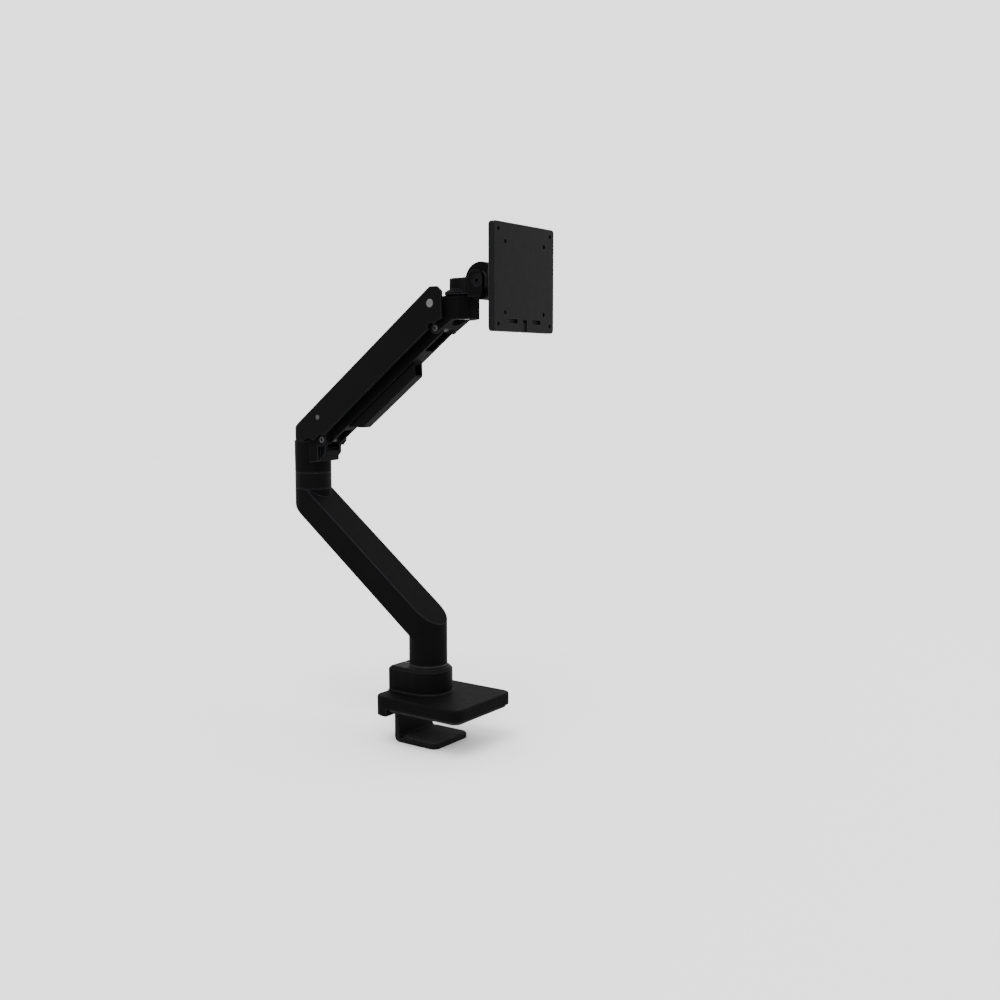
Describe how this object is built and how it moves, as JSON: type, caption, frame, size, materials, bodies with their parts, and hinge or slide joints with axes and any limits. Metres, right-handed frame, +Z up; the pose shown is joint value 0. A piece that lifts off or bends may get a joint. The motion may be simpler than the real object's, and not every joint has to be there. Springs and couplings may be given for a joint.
{
  "type": "monitor arm",
  "caption": "Gas-spring monitor arm with a desk-edge clamp, two swivelling arm sections, a levelling head and a square display mounting plate.",
  "frame": {"origin": "on the post's swivel axis, on the desk's top surface (underside of the desk pad)", "axes": "+Z up along the post, -Y towards the user (the display plate faces -Y), +X along the desk edge"},
  "size_m": [0.116, 0.35, 0.602],
  "materials": {
    "black_cast": "fine satin black powder coat on cast aluminium",
    "black_housing": "smooth satin black paint on cast aluminium",
    "black_plate": "satin black coat on a cast aluminium plate",
    "black_steel": "satin black coat on steel plate",
    "black_plastic": "fine-textured black plastic",
    "pad_foam": "matt black foam rubber",
    "bright_steel": "turned steel",
    "zinc_steel": "zinc plated",
    "black_oxide": "black oxide steel",
    "pin_grey": "dark nickel",
    "cap_silver": "satin silver",
    "bush_pom": "dark acetal",
    "spring_paint": "semi-gloss black paint"
  },
  "bodies": {
    "base": {"base_plate": "black_cast", "base_housing": "black_housing", "post_spindle": "bright_steel", "spindle_bolt": "zinc_steel", "housing_screws": "zinc_steel", "post_washer": "bush_pom", "desk_pad": "pad_foam"},
    "clamp_jaw": {"clamp_bracket": "black_steel", "jaw_pad": "pad_foam", "clamp_nut": "zinc_steel"},
    "clamp_driver": {"clamp_screw": "black_oxide", "clamp_clip": "zinc_steel"},
    "lower_arm_body": {"lower_arm": "black_cast", "lower_cable_cover": "black_plastic", "post_bushes": "bush_pom", "post_grub_screw": "black_oxide", "elbow_spindle": "bright_steel", "elbow_bolt_washer": "zinc_steel", "elbow_bolt": "zinc_steel"},
    "elbow": {"elbow_sleeve": "black_housing", "elbow_knuckle": "black_cast", "elbow_bushes": "bush_pom", "rear_upper_pin": "black_oxide", "rear_lower_pin": "pin_grey", "spring_anchor": "zinc_steel", "spring_rear_pin": "black_oxide", "tension_screw": "zinc_steel"},
    "upper_link": {"upper_cover": "black_housing", "upper_link_bushes": "bush_pom", "rear_pin_caps": "pin_grey", "front_pin_caps": "cap_silver", "spring_front_pin": "black_oxide"},
    "lower_link_body": {"lower_link": "black_housing", "lower_link_bushes": "bush_pom", "upper_cable_cover": "black_plastic"},
    "spring_tube": {"spring_cylinder": "spring_paint", "spring_gland": "spring_paint"},
    "spring_ram": {"spring_rod": "bright_steel", "spring_piston": "bright_steel", "spring_rod_eye": "black_plastic"},
    "head": {"head_knuckle": "black_cast", "front_upper_pin": "black_oxide", "front_lower_pin": "pin_grey", "pan_bush": "bush_pom", "pan_washer": "bush_pom"},
    "swivel": {"swivel_yoke": "black_cast", "pan_spindle": "bright_steel", "pan_nut": "zinc_steel", "pan_nut_washer": "zinc_steel", "tilt_bolt": "black_oxide", "tilt_nut": "zinc_steel"},
    "tilt": {"tilt_block": "black_cast", "tilt_washers": "bush_pom", "roll_washer": "bush_pom", "roll_bolt": "zinc_steel"},
    "display_plate": {"roll_plate": "black_plate", "vesa_plate": "black_plate", "latch_spring": "zinc_steel"},
    "release": {"latch": "black_steel"}
  },
  "joints": [
    {"name": "clamp_slide", "type": "slide", "parent": "base", "child": "clamp_jaw", "axis": [0, 0, 1], "range_m": [-0.017, 0.013]},
    {"name": "clamp_turn", "type": "hinge", "parent": "base", "child": "clamp_driver", "pos_m": [0, 0.0305, 0.04], "axis": [0, 0, 1], "range_deg": [-6125, 4685]},
    {"name": "base_swivel", "type": "hinge", "parent": "base", "child": "lower_arm_body", "pos_m": [0, 0, 0.075], "axis": [0, 0, 1], "range_deg": [-180, 180]},
    {"name": "elbow_swivel", "type": "hinge", "parent": "lower_arm_body", "child": "elbow", "pos_m": [0, 0.187, 0.285], "axis": [0, 0, 1], "range_deg": [-180, 180]},
    {"name": "arm_pitch", "type": "hinge", "parent": "elbow", "child": "upper_link", "pos_m": [0, 0.1555, 0.345], "axis": [-1, 0, 0], "range_deg": [-76.7, 0]},
    {"name": "lower_link_pitch", "type": "hinge", "parent": "elbow", "child": "lower_link_body", "pos_m": [0, 0.153, 0.317], "axis": [-1, 0, 0], "range_deg": [-76.8, 0.1]},
    {"name": "head_level", "type": "hinge", "parent": "upper_link", "child": "head", "pos_m": [0, -0.0241, 0.47887], "axis": [-1, 0, 0], "range_deg": [-0.1, 76.8]},
    {"name": "spring_swing", "type": "hinge", "parent": "elbow", "child": "spring_tube", "pos_m": [0, 0.1555, 0.331], "axis": [-1, 0, 0], "range_deg": [-76.8, 0.1]},
    {"name": "spring_stroke", "type": "slide", "parent": "spring_tube", "child": "spring_ram", "axis": [0, -0.7589, 0.6512], "range_m": [-0.0175, 0.0001]},
    {"name": "head_pan", "type": "hinge", "parent": "head", "child": "swivel", "pos_m": [0, -0.054, 0.475], "axis": [0, 0, 1], "range_deg": [-60, 60]},
    {"name": "head_tilt", "type": "hinge", "parent": "swivel", "child": "tilt", "pos_m": [0, -0.088, 0.502], "axis": [-1, 0, 0], "range_deg": [-30, 75]},
    {"name": "display_roll", "type": "hinge", "parent": "tilt", "child": "display_plate", "pos_m": [0, -0.125, 0.502], "axis": [0, -1, 0], "range_deg": [-90, 90]},
    {"name": "latch_pull", "type": "slide", "parent": "display_plate", "child": "release", "axis": [0, 0, -1], "range_m": [0, 0.004], "stiffness_N_per_m": 600, "springref_m": -0.002}
  ],
  "couplings": [
    {"joint": "clamp_turn", "follows": "clamp_slide", "rad_per_m": 6283.2},
    {"joint": "lower_link_pitch", "follows": "arm_pitch", "ratio": 1},
    {"joint": "head_level", "follows": "arm_pitch", "ratio": -1},
    {"joint": "spring_swing", "follows": "arm_pitch", "ratio": 0.99647},
    {"joint": "spring_stroke", "follows": "arm_pitch", "m_per_rad": 0.012966}
  ]
}
